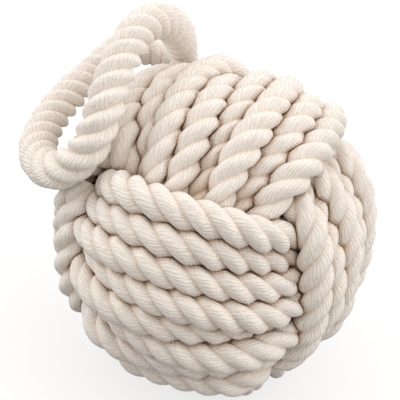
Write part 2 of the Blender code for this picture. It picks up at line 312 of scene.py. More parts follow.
@dataclass(frozen=True)
class CanvasCloth:
    """Unbleached canvas of a plain weave, dull and even, its threads 0.9 mm apart."""

    name: str = "unbleached canvas"
    thread: float = 0.0009
    stray: float = 0.4
    warp: str = "#C9BC9F"
    weft: str = "#B5A684"
    relief: float = 0.0002
    depth: float = 0.8
    roughness: float = 0.95

    def build(self) -> bpy.types.Material:
        """Make the material; its weave lies on the object's own coordinates.

        Returns:
            The material.
        """
        made = new_material(self.name)
        tree = made.node_tree
        place = add_node(tree, "TexCoord")["Object"]
        bands = {"Vector": place, "Scale": WAVE_LENGTH / self.thread, "Distortion": self.stray}
        threads = [
            add_node(tree, "TexWave", bands, wave_type="BANDS", bands_direction=direction)["Fac"]
            for direction in ("X", "Z")
        ]
        weave = add_node(tree, "Math", tuple(threads), operation="MULTIPLY")[0]
        sides = {MIX_FACTOR: weave, MIX_FIRST: linear(self.weft), MIX_SECOND: linear(self.warp)}
        bump = {"Height": weave, "Strength": self.depth, "Distance": self.relief}
        surface = {
            "Base Color": add_node(tree, "Mix", sides, data_type="RGBA")[MIXED],
            "Normal": add_node(tree, "Bump", bump)["Normal"],
            "Roughness": self.roughness,
        }
        feed(tree, tree.nodes["Principled BSDF"], surface)
        return made


@dataclass(frozen=True)
class DrySand:
    """Dry coarse sand of mixed grains, 0.6 mm wide: a dull speckle of pale and brown."""

    name: str = "dry sand"
    grain: float = 0.0006
    pale: str = "#CDB48A"
    dark: str = "#8B6B43"
    relief: float = 0.0003
    depth: float = 0.7
    roughness: float = 0.9

    def build(self) -> bpy.types.Material:
        """Make the material; its grains lie on the object's own coordinates.

        Returns:
            The material.
        """
        made = new_material(self.name)
        tree = made.node_tree
        place = add_node(tree, "TexCoord")["Object"]
        grains = add_node(tree, "TexVoronoi", {"Vector": place, "Scale": 1.0 / self.grain})
        spread = add_node(tree, "SeparateColor", {"Color": grains["Color"]})["Red"]
        sides = {MIX_FACTOR: spread, MIX_FIRST: linear(self.dark), MIX_SECOND: linear(self.pale)}
        bump = {"Height": grains["Distance"], "Strength": self.depth, "Distance": self.relief}
        surface = {
            "Base Color": add_node(tree, "Mix", sides, data_type="RGBA")[MIXED],
            "Normal": add_node(tree, "Bump", bump, invert=True)["Normal"],
            "Roughness": self.roughness,
        }
        feed(tree, tree.nodes["Principled BSDF"], surface)
        return made


@dataclass(frozen=True)
class HandTied:
    """How far the hand-tied ball is out of round, and how its rope fills two corners.

    The ball is moved by soft pulls, each a way and a move. The ways point from the ball's
    middle, and a pull fades with the distance from its way. At the two corners, turns whose
    middle lies less than covered_from out begin to thicken, wholly so from covered_over deeper.
    """

    reach: float = 0.45
    every_set: tuple = (
        ((0.15, -0.85, 0.50), (-0.0033, 0.0018, 0.0008)),
        ((-0.55, -0.83, 0.10), (-0.0018, 0.0010, 0.0039)),
        ((-0.10, -0.99, -0.10), (-0.0024, -0.0046, -0.0007)),
        ((0.45, -0.89, -0.10), (0.0029, -0.0006, -0.0007)),
        ((-0.60, -0.65, -0.45), (-0.0001, -0.0011, -0.0023)),
        ((0.00, -0.80, -0.60), (0.0022, 0.0040, 0.0019)),
        ((0.60, -0.65, -0.45), (0.0050, 0.0001, -0.0016)),
        ((-0.45, -0.55, 0.70), (0.0007, 0.0012, -0.0009)),
        ((0.10, -0.30, 0.95), (-0.0012, -0.0011, 0.0)),
        ((0.70, -0.45, 0.55), (0.0019, -0.0006, -0.0016)),
        ((0.95, -0.30, 0.00), (-0.0030, 0.0006, 0.0012)),
        ((0.45, 0.30, 0.84), (0.0017, 0.0014, 0.0031)),
        ((0.90, 0.20, 0.40), (-0.0030, -0.0005, -0.0008)),
        ((-0.10, 0.45, 0.89), (0.0008, -0.0006, -0.0021)),
        ((-0.95, -0.30, 0.00), (0.0017, 0.0003, -0.0007)),
    )
    third_set: tuple = (
        ((-0.55, -0.83, 0.10), (0.0048, 0.0014, -0.0002)),
        ((-0.60, -0.65, -0.45), (0.0021, 0.0016, 0.0002)),
        ((0.45, -0.89, -0.10), (-0.0024, 0.0009, 0.0007)),
        ((0.60, -0.65, -0.45), (-0.0034, 0.0025, 0.0017)),
        ((0.70, -0.45, 0.55), (-0.0009, 0.0013, 0.0033)),
    )
    corners: tuple = ((-0.72, -0.50, 0.49), (0.59, -0.56, 0.58))
    corner_reach: float = 0.17
    corner_swell: float = 0.55
    covered_from: float = 0.0700
    covered_over: float = 0.0080

    @staticmethod
    def nearness(points: np.ndarray, way: tuple, reach: float) -> np.ndarray:
        """Give how near points lie to a way from the ball's middle.

        Args:
            points: The points, from the ball's middle.
            way: The way.
            reach: How far round the ball nearness reaches.

        Returns:
            Nearness of each point, 1 on the way and fading to 0.
        """
        ways = points / np.linalg.norm(points, axis=1)[:, None]
        centre = np.array(way) / np.linalg.norm(way)
        return np.exp(-0.5 * ((ways - centre) ** 2).sum(axis=1) / reach**2)

    def swell(self, points: np.ndarray) -> np.ndarray:
        """Thicken the rope where it fills an open corner from below.

        Args:
            points: The rope's middle, from the ball's middle.

        Returns:
            How many times thicker it is at each point.
        """
        far = np.linalg.norm(points, axis=1)
        covered = np.clip((self.covered_from - far) / self.covered_over, 0.0, 1.0)
        thicker = np.ones(len(points))
        for way in self.corners:
            thicker += self.corner_swell * self.nearness(points, way, self.corner_reach) * covered
        return thicker

    def move(self, points: np.ndarray, third: bool) -> np.ndarray:
        """Pull the rope out of round.

        Args:
            points: The rope's middle, from the ball's middle.
            third: Whether the points are of the third set, which has pulls of its own.

        Returns:
            How far each point is moved.
        """
        moved = np.zeros_like(points)
        for way, pull in (*self.every_set, *(self.third_set if third else ())):
            moved += self.nearness(points, way, self.reach)[:, None] * np.array(pull)
        return moved


@dataclass
class WoundKnot:
    """The rope's route in the ball: three sets of turns, drawn tight round the bag.

    The rope is squeezed to its row, under and mouth diameters where it lies outside, under
    another set and at the loop's two roots. The sets are laid at right angles, each round its
    own axes, draw_steps bring them in from loose to close, press_steps press the ball from
    press_bulge times its size down to it, and settle_passes let the turns find their places.
    """

    row_diameter: float = 0.0117
    under_diameter: float = 0.0086
    mouth_diameter: float = 0.0112
    rope_diameter: float = 0.0152
    gap: float = 0.0008
    pitch: float = 0.0130
    turns: int = 8
    points_per_turn: int = 24
    face_half_angle: float = math.radians(45.6)
    dive_start: float = math.radians(36.0)
    dive_end: float = math.radians(58.0)
    rows_draw_in: float = 0.20
    starts: tuple = (math.radians(-60.0), math.radians(-30.0), math.radians(-30.0))
    end: float = math.radians(285.0)
    link_shares: tuple = (0.25, 0.75)
    loose_scale: float = 2.14
    loose_layer: float = 3.0
    draw_steps: int = 32
    draw_rounds: int = 6
    draw_stiff: float = 0.10
    press_steps: int = 24
    press_passes: int = 3
    press_bulge: float = 1.16
    press_rounds: int = 4
    press_pull: float = 0.005
    press_stiff: float = 0.08
    settle_passes: int = 30
    settle_stiff: float = 0.01
    samples_per_step: int = 4
    apart: float = 3.0
    watched: float = 1.25
    push_factor: float = 1.3
    hold: float = 0.02
    core_radius: float = 0.0378
    axes: tuple = (
        ((0, 0, -1), (0, 1, 0), (-1, 0, 0)),
        ((0, -1, 0), (1, 0, 0), (0, 0, 1)),
        ((-1, 0, 0), (0, 0, -1), (0, 1, 0)),
    )
    roots: tuple = ((-0.0431, 0.0499, 0.0617), (-0.0543, 0.0587, 0.0478))
    root_out: tuple = ((-0.024, 0.040, 0.046), (-0.034, 0.043, 0.052))
    root_back: tuple = ((-0.043, 0.046, 0.043), (-0.034, 0.040, 0.037))
    root_gap: float = 0.0003
    radii: np.ndarray = field(default_factory=lambda: np.zeros(0))
    points: np.ndarray = field(default_factory=lambda: np.zeros((0, 3)))
    spans: list = field(default_factory=list)
    out_start: int = 0
    back_start: int = 0

    def __post_init__(self) -> None:
        """Work out the ball's sizes and the rope's thickness along its route."""
        self.outer = self.turns * self.pitch / (2.0 * math.sin(self.face_half_angle))
        self.layer = 0.5 * (self.row_diameter + self.under_diameter) + self.gap
        parts = []
        for index in range(3):
            under = self.depth_under(self.angles(index))
            own = 0.5 * (self.row_diameter + (self.under_diameter - self.row_diameter) * under)
            if parts:
                parts.append(np.full(len(self.link_shares), 0.5 * self.under_diameter))
            start = sum(len(part) for part in parts)
            parts.append(own)
            self.spans.append((start, start + len(own)))
        mouth = 0.5 * self.mouth_diameter
        tucked = 0.5 * self.under_diameter
        self.out_start = self.spans[-1][1]
        self.back_start = self.out_start + 3
        parts.append(np.array([tucked, 0.5 * (mouth + tucked), mouth]))
        parts.append(np.array([mouth, 0.5 * (mouth + tucked), tucked]))
        self.radii = np.concatenate(parts)

    @staticmethod
    def ease(share: np.ndarray) -> np.ndarray:
        """Step smoothly from 0 to 1."""
        share = np.clip(share, 0.0, 1.0)
        return share * share * (3.0 - 2.0 * share)

    def angles(self, index: int) -> np.ndarray:
        """Give the angles of one set's points.

        Args:
            index: The set, from 0 to 2.

        Returns:
            The angles, from the set's first point to its last.
        """
        step = math.tau / self.points_per_turn
        run = (self.turns - 1) * math.tau + self.end - self.starts[index]
        return self.starts[index] + step * np.arange(round(run / step) + 1)

    def depth_under(self, angles: np.ndarray) -> np.ndarray:
        """Give 0 where a turn lies outside and 1 where it lies under another set."""
        lean = np.arcsin(np.abs(np.sin(angles)))
        return self.ease((lean - self.dive_start) / (self.dive_end - self.dive_start))

    def set_route(self, index: int, outer: float, layer: float, draw_in: float) -> np.ndarray:
        """Lay one set of turns round a ball.

        Args:
            index: The set, from 0 to 2.
            outer: Radius of the rope's middle where it lies outside.
            layer: How much deeper it lies under another set.
            draw_in: How much the rows close up at the sides.

        Returns:
            The points of the rope's middle.
        """
        out, under, side = (np.array(axis, float) for axis in self.axes[index])
        angles = self.angles(index)
        lean = np.arcsin(np.abs(np.sin(angles))) / (0.5 * math.pi)
        row = angles / math.tau - 0.5 * (self.turns - 1.0 / self.turns)
        offset = row * self.pitch * (1.0 - draw_in * self.ease(lean))
        reach = outer - layer * self.depth_under(angles)
        ring = np.sqrt(np.maximum(reach**2 - offset**2, self.pitch**2))
        return (
            np.outer(ring * np.cos(angles), out)
            + np.outer(ring * np.sin(angles), under)
            + np.outer(offset, side)
        )

    def root_points(self, scale: float) -> np.ndarray:
        """Lay the rope's way out at the corner and its way back in.

        Args:
            scale: How many times larger than the tight ball it is laid.

        Returns:
            Three points of the way out and three of the way back.
        """
        reach = 0.5 * self.rope_diameter + self.root_gap
        ends = []
        for root, inside in zip(self.roots, (self.root_out[-1], self.root_back[0])):
            root, inside = Vector(root), Vector(inside)
            ends.append(root + (inside - root).normalized() * reach)
        return scale * np.array([*self.root_out, ends[0], ends[1], *self.root_back], float)

    def laid(self, share: float) -> np.ndarray:
        """Lay the whole route round the ball, not yet pressed.

        Args:
            share: How far it is drawn in, from loose at 0 to close at 1.

        Returns:
            The points of the rope's middle.
        """
        loose = self.outer * self.loose_scale
        outer = loose + (self.outer - loose) * share
        wide = self.layer * self.loose_layer
        layer = wide + (self.layer - wide) * share
        parts = []
        for index in range(3):
            route = self.set_route(index, outer, layer, self.rows_draw_in * share)
            if parts:
                steps = np.array(self.link_shares)[:, None]
                parts.append(parts[-1][-1] * (1.0 - steps) + route[0] * steps)
            parts.append(route)
        parts.append(self.root_points(outer / self.outer))
        return np.concatenate(parts)

    def push_apart(
        self,
        points: np.ndarray,
        rounds: int,
        pull: float,
        stiff: float,
        held: np.ndarray | None = None,
    ) -> np.ndarray:
        """Move touching turns apart while the rope is pulled and keeps its curve.

        Args:
            points: The rope's middle.
            rounds: How many times it is moved.
            pull: How strongly it is drawn straight.
            stiff: How strongly it keeps an even curve.
            held: Points that it is drawn towards, or None.

        Returns:
            The moved points.
        """
        count = len(self.radii) - 1
        before = np.repeat(np.arange(count), self.samples_per_step)
        share = np.tile(np.arange(self.samples_per_step) / self.samples_per_step, count)
        keep = before != self.back_start - 1
        before, share = before[keep], share[keep]
        half = self.radii[before] * (1.0 - share) + self.radii[before + 1] * share
        spots = points[before] * (1.0 - share)[:, None] + points[before + 1] * share[:, None]
        square = (spots**2).sum(axis=1)
        apart = square[:, None] + square[None, :] - 2.0 * spots @ spots.T
        reach = (self.row_diameter + self.gap) * self.watched
        first, second = np.nonzero(np.triu(apart < reach**2, 1))
        along = (before + share)[second] - (before + share)[first]
        broken = (before[first] < self.back_start) & (before[second] >= self.back_start)
        near = (along > self.apart) | broken
        first, second = first[near], second[near]
        need = half[first] + half[second] + self.gap
        inner = self.core_radius + self.radii
        for _ in range(rounds):
            spots = points[before] * (1.0 - share)[:, None]
            spots += points[before + 1] * share[:, None]
            line = spots[first] - spots[second]
            length = np.linalg.norm(line, axis=1) + 1e-9
            tight = need > length
            move = ((need - length) / length)[tight, None] * line[tight]
            push = np.zeros_like(points)
            weight = np.full(len(points), 1e-9)
            for places, sign in ((first[tight], 0.5), (second[tight], -0.5)):
                for step, part in ((0, 1.0 - share[places]), (1, share[places])):
                    np.add.at(push, before[places] + step, sign * move * part[:, None])
                    np.add.at(weight, before[places] + step, part)
            points = points + self.push_factor * push / np.maximum(weight, 1.0)[:, None]
            bend = np.zeros_like(points)
            bend[1:-1] = 0.5 * (points[:-2] + points[2:]) - points[1:-1]
            bend[self.back_start - 1 : self.back_start + 1] = 0.0
            change = bend.copy()
            change[1:-1] -= 0.5 * (bend[:-2] + bend[2:])
            points = points + pull * bend + stiff * change
            if held is not None:
                points += self.hold * (held - points)
            else:
                points[self.out_start + 1 : self.back_start + 2] = self.root_points(1.0)[1:5]
            far = np.linalg.norm(points, axis=1)
            low = far < inner
            points[low] *= (inner[low] / far[low])[:, None]
        return points

    def draw_tight(self) -> None:
        """Draw the loose rings down onto the bag and press them into a ball."""
        laid = self.laid(0.0)
        points = laid.copy()
        for step in range(1, self.draw_steps + 1):
            closer = self.laid(step / self.draw_steps)
            points = points + (closer - laid)
            laid = closer
            points = self.push_apart(points, self.draw_rounds, 0.0, self.draw_stiff, laid)
        for limit in np.linspace(self.outer * self.press_bulge, self.outer, self.press_steps):
            for _ in range(self.press_passes):
                far = np.linalg.norm(points, axis=1)
                high = far > limit
                high[self.out_start :] = False
                points[high] *= (0.5 + 0.5 * limit / far[high])[:, None]
                points = self.push_apart(points, self.press_rounds, self.press_pull, self.press_stiff)
        for _ in range(self.settle_passes):
            points = self.push_apart(points, self.press_rounds, 0.0, self.settle_stiff)
        moved = HandTied().move(points, False)
        third = slice(*self.spans[2])
        moved[third] = HandTied().move(points[third], True)
        self.points = points + moved


def spline(points: np.ndarray, values: np.ndarray, step: float, cuts: int = 16) -> tuple:
    """Run a smooth curve through points and cut it into even steps.

    Args:
        points: Places that the curve passes through.
        values: A number at each place, such as a thickness.
        step: The distance between the new places.
        cuts: How many fine cuts each span is measured with.

    Returns:
        The new places, the number at each and the distance run to each.
    """
    rows = np.column_stack((points, values))
    padded = np.concatenate((2 * rows[:1] - rows[1:2], rows, 2 * rows[-1:] - rows[-2:-1]))
    share = (np.arange(cuts) / cuts)[None, :, None]
    before, start, end, after = (padded[i : len(rows) - 1 + i][:, None] for i in range(4))
    fine = 0.5 * (
        2.0 * start
        + (end - before) * share
        + (2.0 * before - 5.0 * start + 4.0 * end - after) * share**2
        + (3.0 * start - before - 3.0 * end + after) * share**3
    )
    fine = np.concatenate((fine.reshape(-1, rows.shape[1]), rows[-1:]))
    run = np.concatenate(([0.0], np.cumsum(np.linalg.norm(np.diff(fine[:, :3], axis=0), axis=1))))
    even = np.linspace(0.0, run[-1], max(2, round(run[-1] / step) + 1))
    cut = np.stack([np.interp(even, run, fine[:, i]) for i in range(fine.shape[1])], axis=1)
    return cut[:, :3], cut[:, 3], even


def carried_frames(points: np.ndarray) -> tuple[np.ndarray, np.ndarray]:
    """Carry a square pair of directions along a curve without twisting it.

    Args:
        points: The curve's places.

    Returns:
        Two directions square to each other and to the curve, at each place.
    """
    travel = np.gradient(points, axis=0)
    travel /= np.linalg.norm(travel, axis=1)[:, None]
    across = np.zeros_like(points)
    across[0] = Vector(travel[0]).orthogonal().normalized()
    for i in range(1, len(points)):
        line = points[i] - points[i - 1]
        size = line @ line
        carried = across[i - 1] - (2.0 / size) * (line @ across[i - 1]) * line
        ahead = travel[i - 1] - (2.0 / size) * (line @ travel[i - 1]) * line
        turn = travel[i] - ahead
        size = turn @ turn
        across[i] = carried - (2.0 / size) * (turn @ carried) * turn if size > 1e-18 else carried
    across -= (across * travel).sum(axis=1)[:, None] * travel
    across /= np.linalg.norm(across, axis=1)[:, None]
    return across, np.cross(travel, across)


@dataclass(frozen=True)
class StrandSection:
    """The rope cut across: three strands side by side, each a round that is cut off."""

    strand: float = 0.58
    faces: int = 12

    def spread(self) -> np.ndarray:
        """Give the angles round one strand, from groove to groove.

        Returns:
            The angles.
        """
        meet = math.pi / 3.0
        middle = 1.0 - self.strand
        widest = meet + math.asin(min(1.0, middle * math.sin(meet) / self.strand))
        return np.linspace(-widest, widest, self.faces + 1)

    def depth(self) -> np.ndarray:
        """Give how deep in the groove each place round a strand lies.

        Returns:
            Depths from 0 to 1.
        """
        around = self.spread()
        middle = 1.0 - self.strand
        reach = np.hypot(middle + self.strand * np.cos(around), self.strand * np.sin(around))
        return (1.0 - reach) / (1.0 - reach.min())


@dataclass
class LaidRope:
    """One length of three-strand rope, from its middle line to its mesh.

    Its twist and its strands' thickness drift along it, each by a spacing and a spread.
    """

    name: str
    points: np.ndarray
    radii: np.ndarray
    lay: tuple
    section: StrandSection = StrandSection()
    step: float = 0.0013
    phase: float = 0.0
    seed: int = 1
    strands: int = 3
    twist_drift: tuple = (0.05, 0.14)
    strand_drift: tuple = (0.011, 0.022)
    map_shift: float = 0.37
    # The shade painted in the strands' grooves starts at a share of their depth; the shade painted deep
    # in the ball starts deep_from inside its radius and is full deep_over further in.
    groove_from: float = 0.60
    groove_power: float = 1.2
    deep_from: float = 0.0090
    deep_over: float = 0.0100

    def trace(self) -> None:
        """Cut the rope's middle into even steps and lay its strands along it."""
        self.line, self.half, self.run = spline(self.points, self.radii, self.step)
        across, beside = carried_frames(self.line)
        even = np.linspace(0.0, self.run[-1], len(self.lay))
        lay = np.interp(self.run, even, self.lay)
        rng = np.random.default_rng(self.seed)
        turned = np.cumsum(np.diff(self.run) * math.tau / lay[1:])
        turn = self.phase + np.concatenate(([0.0], turned))
        turn += self.drift(rng, *self.twist_drift)
        angle = turn[:, None] + np.arange(self.strands) * math.tau / self.strands
        cosine, sine = np.cos(angle)[..., None], np.sin(angle)[..., None]
        self.outward = cosine * across[:, None] + sine * beside[:, None]
        self.sideways = cosine * beside[:, None] - sine * across[:, None]
        drifts = [self.drift(rng, *self.strand_drift) for _ in range(self.strands)]
        self.strand = self.section.strand * self.half[:, None] * (1.0 + np.stack(drifts, axis=1))
        middle = (1.0 - self.section.strand) * self.half
        self.centre = self.line[:, None] + middle[:, None, None] * self.outward
        self.mean_lay = float(lay.mean())

    def drift(self, rng: np.random.Generator, spacing: float, spread: float) -> np.ndarray:
        """Give a value that drifts along the rope, a little uneven as hand-laid rope is."""
        count = max(4, int(self.run[-1] / spacing))
        return np.interp(self.run, np.linspace(0.0, self.run[-1], count), rng.normal(0.0, spread, count))

    def build(self, press: "StrandPress | None", floor: bool) -> bpy.types.Object:
        """Make the mesh.

        Args:
            press: What flattens the strands against other turns, or None.
            floor: Whether the rope is pressed flat on the floor, with shade painted where it lies deep in
                the ball.

        Returns:
            The rope as an object.
        """
        around = self.section.spread()[:-1]
        offset = self.strand[:, :, None, None] * (
            np.cos(around)[:, None] * self.outward[:, :, None]
            + np.sin(around)[:, None] * self.sideways[:, :, None]
        )
        close = np.zeros(offset.shape[:3])
        if press:
            offset, close = press.flatten(self, offset)
        spots = self.centre[:, :, None] + offset
        if floor:
            spots[..., 2] = np.maximum(spots[..., 2], 0.0)
            # Shade is painted on the rope where it lies deep in the ball.
            deep = BALL_RADIUS - self.deep_from - np.linalg.norm(spots - np.array(BALL_MIDDLE), axis=-1)
            close = np.maximum(close, np.clip(deep / self.deep_over, 0.0, 1.0))
        rings = len(self.run)
        return self.mesh(spots.reshape(rings, -1, 3), close.reshape(rings, -1))

    def yarn_map(self) -> np.ndarray:
        """Map each ring and strand by the distance along and across the yarns.

        The yarns turn against the strands, so that they run along the rope on its crests.

        Returns:
            The map's two lengths at each ring, strand and place round it, in metres.
        """
        half = float(self.half.mean())
        strand = self.section.strand * half
        slope = math.atan(math.tau * (half - strand) / self.mean_lay)
        yarn = math.atan(math.tau * half / self.mean_lay * math.cos(slope))
        along = self.run[:, None] / math.cos(slope)
        wide = self.section.spread()[None] * strand
        across_yarn = wide * math.cos(yarn) + along * math.sin(yarn)
        along_yarn = along * math.cos(yarn) - wide * math.sin(yarn)
        one = np.stack((along_yarn, across_yarn), axis=-1)
        return one[:, None] + self.map_shift * np.arange(self.strands)[None, :, None, None]

    def mesh(self, spots: np.ndarray, close: np.ndarray) -> bpy.types.Object:
        """Join the rings into a closed mesh with its map and attributes.

        Args:
            spots: The places of each ring's points.
            close: How much shade is painted on each, from 0 to 1, where it lies near another turn or deep
                in the ball.

        Returns:
            The rope as an object.
        """
        rings, around = spots.shape[:2]
        index = np.arange(rings * around).reshape(rings, around)
        right = np.roll(index, -1, axis=1)
        quads = np.stack((index[:-1], right[:-1], right[1:], index[1:]), axis=-1).reshape(-1, 4)
        ends = np.array([spots[0].mean(axis=0), spots[-1].mean(axis=0)])
        vertices = np.concatenate((spots.reshape(-1, 3), ends))
        first = np.stack((right[0], index[0], np.full(around, rings * around)), axis=-1)
        last = np.stack((index[-1], right[-1], np.full(around, rings * around + 1)), axis=-1)
        mesh = bpy.data.meshes.new(self.name)
        mesh.from_pydata(vertices.tolist(), [], [*quads.tolist(), *first.tolist(), *last.tolist()])
        grid = self.yarn_map()
        corners = (grid[:-1, :, :-1], grid[:-1, :, 1:], grid[1:, :, 1:], grid[1:, :, :-1])
        sides = np.stack(corners, axis=3).reshape(-1, 2)
        layer = mesh.uv_layers.new(name="rope")
        flat = np.concatenate((sides, np.zeros((6 * around, 2))))
        layer.data.foreach_set("uv", flat.astype(np.float32).ravel())
        # The groove attribute paints shade into the grooves between strands; the tuck attribute paints
        # shade where turns touch and deep in the ball.
        depth = (self.section.depth()[:-1] - self.groove_from) / (1.0 - self.groove_from)
        painted_shade = np.tile(np.clip(depth, 0.0, 1.0) ** self.groove_power, (rings, self.strands))
        for name, values in (("groove", painted_shade), ("tuck_shade", close)):
            attribute = mesh.attributes.new(name, "FLOAT", "POINT")
            values = np.concatenate((values.ravel(), [0.0, 0.0]))
            attribute.data.foreach_set("value", values.astype(np.float32))
        mesh.shade_smooth()
        made = bpy.data.objects.new(self.name, mesh)
        bpy.context.collection.objects.link(made)
        return made


@dataclass
class StrandPress:
    """All strands of the knot, which flatten those of the turns they lie against.

    The last of the ropes is the loop. It moves, so no shade is painted where it rests. Two
    places of one rope are different turns where they are more than same_turn apart along it,
    and a strand keeps at least a share of its radius.
    """

    ropes: list
    every: int = 2
    reach_over: float = 0.0004
    same_turn: float = 0.03
    least: float = 0.30
    soft: float = 0.00018
    rounds: int = 3
    shade_over: float = 0.0010
    batch: int = 3000

    def __post_init__(self) -> None:
        """Sort the strands' middles by place."""
        rows = [rope.centre[:: self.every].reshape(-1, 3) for rope in self.ropes]
        self.places = np.concatenate(rows)
        self.strand = np.concatenate([rope.strand[:: self.every].ravel() for rope in self.ropes])
        runs = [np.repeat(rope.run[:: self.every], rope.strands) for rope in self.ropes]
        self.run = np.concatenate(runs)
        self.owner = np.concatenate([np.full(len(row), i) for i, row in enumerate(rows)])
        self.tree = KDTree(len(self.places))
        for i, place in enumerate(self.places):
            self.tree.insert(place, i)
        self.tree.balance()

    def near(self, rope: LaidRope) -> np.ndarray:
        """List the other turns' strand places near each strand place of a rope.

        Args:
            rope: The rope.

        Returns:
            A row of places for each of the rope's own, filled up with -1.
        """
        own = self.ropes.index(rope)
        reach = 2.0 * float(rope.strand.max()) + self.reach_over
        found = []
        for i, place in enumerate(rope.centre.reshape(-1, 3)):
            run = rope.run[i // rope.strands]
            hits = [hit[1] for hit in self.tree.find_range(place, reach)]
            hits = [n for n in hits if self.owner[n] != own or abs(self.run[n] - run) > self.same_turn]
            found.append(hits)
        table = np.full((len(found), max(1, max(map(len, found)))), -1)
        for row, hits in zip(table, found):
            row[: len(hits)] = hits
        return table

    def flatten(self, rope: LaidRope, offset: np.ndarray) -> tuple[np.ndarray, np.ndarray]:
        """Flatten a rope's strands where they meet those of other turns.

        Args:
            rope: The rope.
            offset: Each point, from the middle of its strand.

        Returns:
            The pressed points and how near each is to another turn, from 0 to 1, which sets the shade
            painted there.
        """
        shape = offset.shape
        offset = offset.reshape(-1, shape[2], 3).copy()
        centre = rope.centre.reshape(-1, 3)
        own = rope.strand.ravel()
        moves = self.owner == len(self.ropes) - 1
        apart = moves != (rope is self.ropes[-1])
        table = self.near(rope)
        close = np.zeros(offset.shape[:2])
        for start in range(0, len(centre), self.batch):
            rows = slice(start, start + self.batch)
            picked = table[rows]
            away = self.places[picked] - centre[rows][:, None]
            far = np.maximum(np.linalg.norm(away, axis=2), 1e-6)
            toward = away / far[..., None]
            plane = 0.5 * (far**2 + own[rows][:, None] ** 2 - self.strand[picked] ** 2) / far
            plane = np.maximum(plane, self.least * own[rows][:, None])
            plane[picked < 0] = 1.0
            nearest = np.full(close[rows].shape, -1.0)
            for _ in range(self.rounds):
                depth = np.einsum("rkc,rnc->rnk", toward, offset[rows]) - plane[:, None]
                worst = depth.argmax(axis=2)[..., None]
                most = np.take_along_axis(depth, worst, axis=2)[..., 0]
                back = self.soft * np.logaddexp(0.0, most / self.soft)
                offset[rows] -= back[..., None] * np.take_along_axis(toward, worst, axis=1)
                # Nearness to a turn that stays put sets the shade painted where turns touch.
                shade = np.where(apart[picked][:, None], -1.0, depth).max(axis=2)
                nearest = np.maximum(nearest, shade)
            close[rows] = np.clip(1.0 + nearest / self.shade_over, 0.0, 1.0)
        return offset.reshape(shape), close.reshape(shape[:3])


@dataclass
class CarryLoop:
    """The loop of rope that the doorstop is carried by, from inside the ball and back."""

    diameter: float = 0.0152
    route: tuple = (
        (-0.0320, 0.0436, 0.0523),
        (-0.0372, 0.0439, 0.0639),
        (-0.0381, 0.0293, 0.0802),
        (-0.0402, 0.0182, 0.0885),
        (-0.0430, 0.0079, 0.0925),
        (-0.0455, -0.0024, 0.0928),
        (-0.0468, -0.0115, 0.0900),
        (-0.0473, -0.0242, 0.0833),
        (-0.0472, -0.0344, 0.0752),
        (-0.0469, -0.0416, 0.0665),
        (-0.0478, -0.0463, 0.0571),
        (-0.0506, -0.0488, 0.0488),
        (-0.0570, -0.0490, 0.0401),
        (-0.0660, -0.0449, 0.0330),
        (-0.0765, -0.0348, 0.0298),
        (-0.0833, -0.0219, 0.0312),
        (-0.0851, -0.0077, 0.0355),
        (-0.0838, 0.0050, 0.0407),
        (-0.0810, 0.0167, 0.0455),
        (-0.0777, 0.0266, 0.0492),
        (-0.0732, 0.0360, 0.0553),
        (-0.0657, 0.0467, 0.0603),
        (-0.0495, 0.0548, 0.0530),
        (-0.0410, 0.0470, 0.0440),
    )
    fullness: tuple = (1.13, 1.12, 1.14, 1.19, 1.18, 1.12, 1.07)
    squeezed: float = 0.0062
    section: StrandSection = StrandSection(0.60, 16)
    step: float = 0.0009
    free_from: float = 0.035
    free_at: float = 0.064
    free_way: tuple = (-0.50, -0.45, 0.74)

    def rope(self) -> LaidRope:
        """Lay the loop's rope, squeezed at both ends where the ball holds it.

        Returns:
            The rope, traced.
        """
        points = np.array(self.route) + np.array(BALL_MIDDLE)
        free = np.linspace(0.0, 1.0, len(points) - 4)
        places = np.linspace(0.0, 1.0, len(self.fullness))
        full = 0.5 * self.diameter * np.interp(free, places, self.fullness)
        mouth = 0.5 * (self.squeezed + 0.5 * self.diameter)
        radii = np.array((self.squeezed, mouth, *full, mouth, self.squeezed))
        rope = LaidRope("carry_loop", points, radii, Lay.LOOP.value, self.section, self.step, seed=31)
        rope.trace()
        return rope

    def build(self, rope: LaidRope, press: StrandPress, finish: bpy.types.Material) -> bpy.types.Object:
        """Args:
            rope: The loop's rope.
            press: What flattens its strands against other turns.
            finish: Its material.

        Returns:
            The loop as an object.
        """
        made = rope.build(press, False)
        made.data.materials.append(finish)
        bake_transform(made)
        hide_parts("handle_loop")
        return made


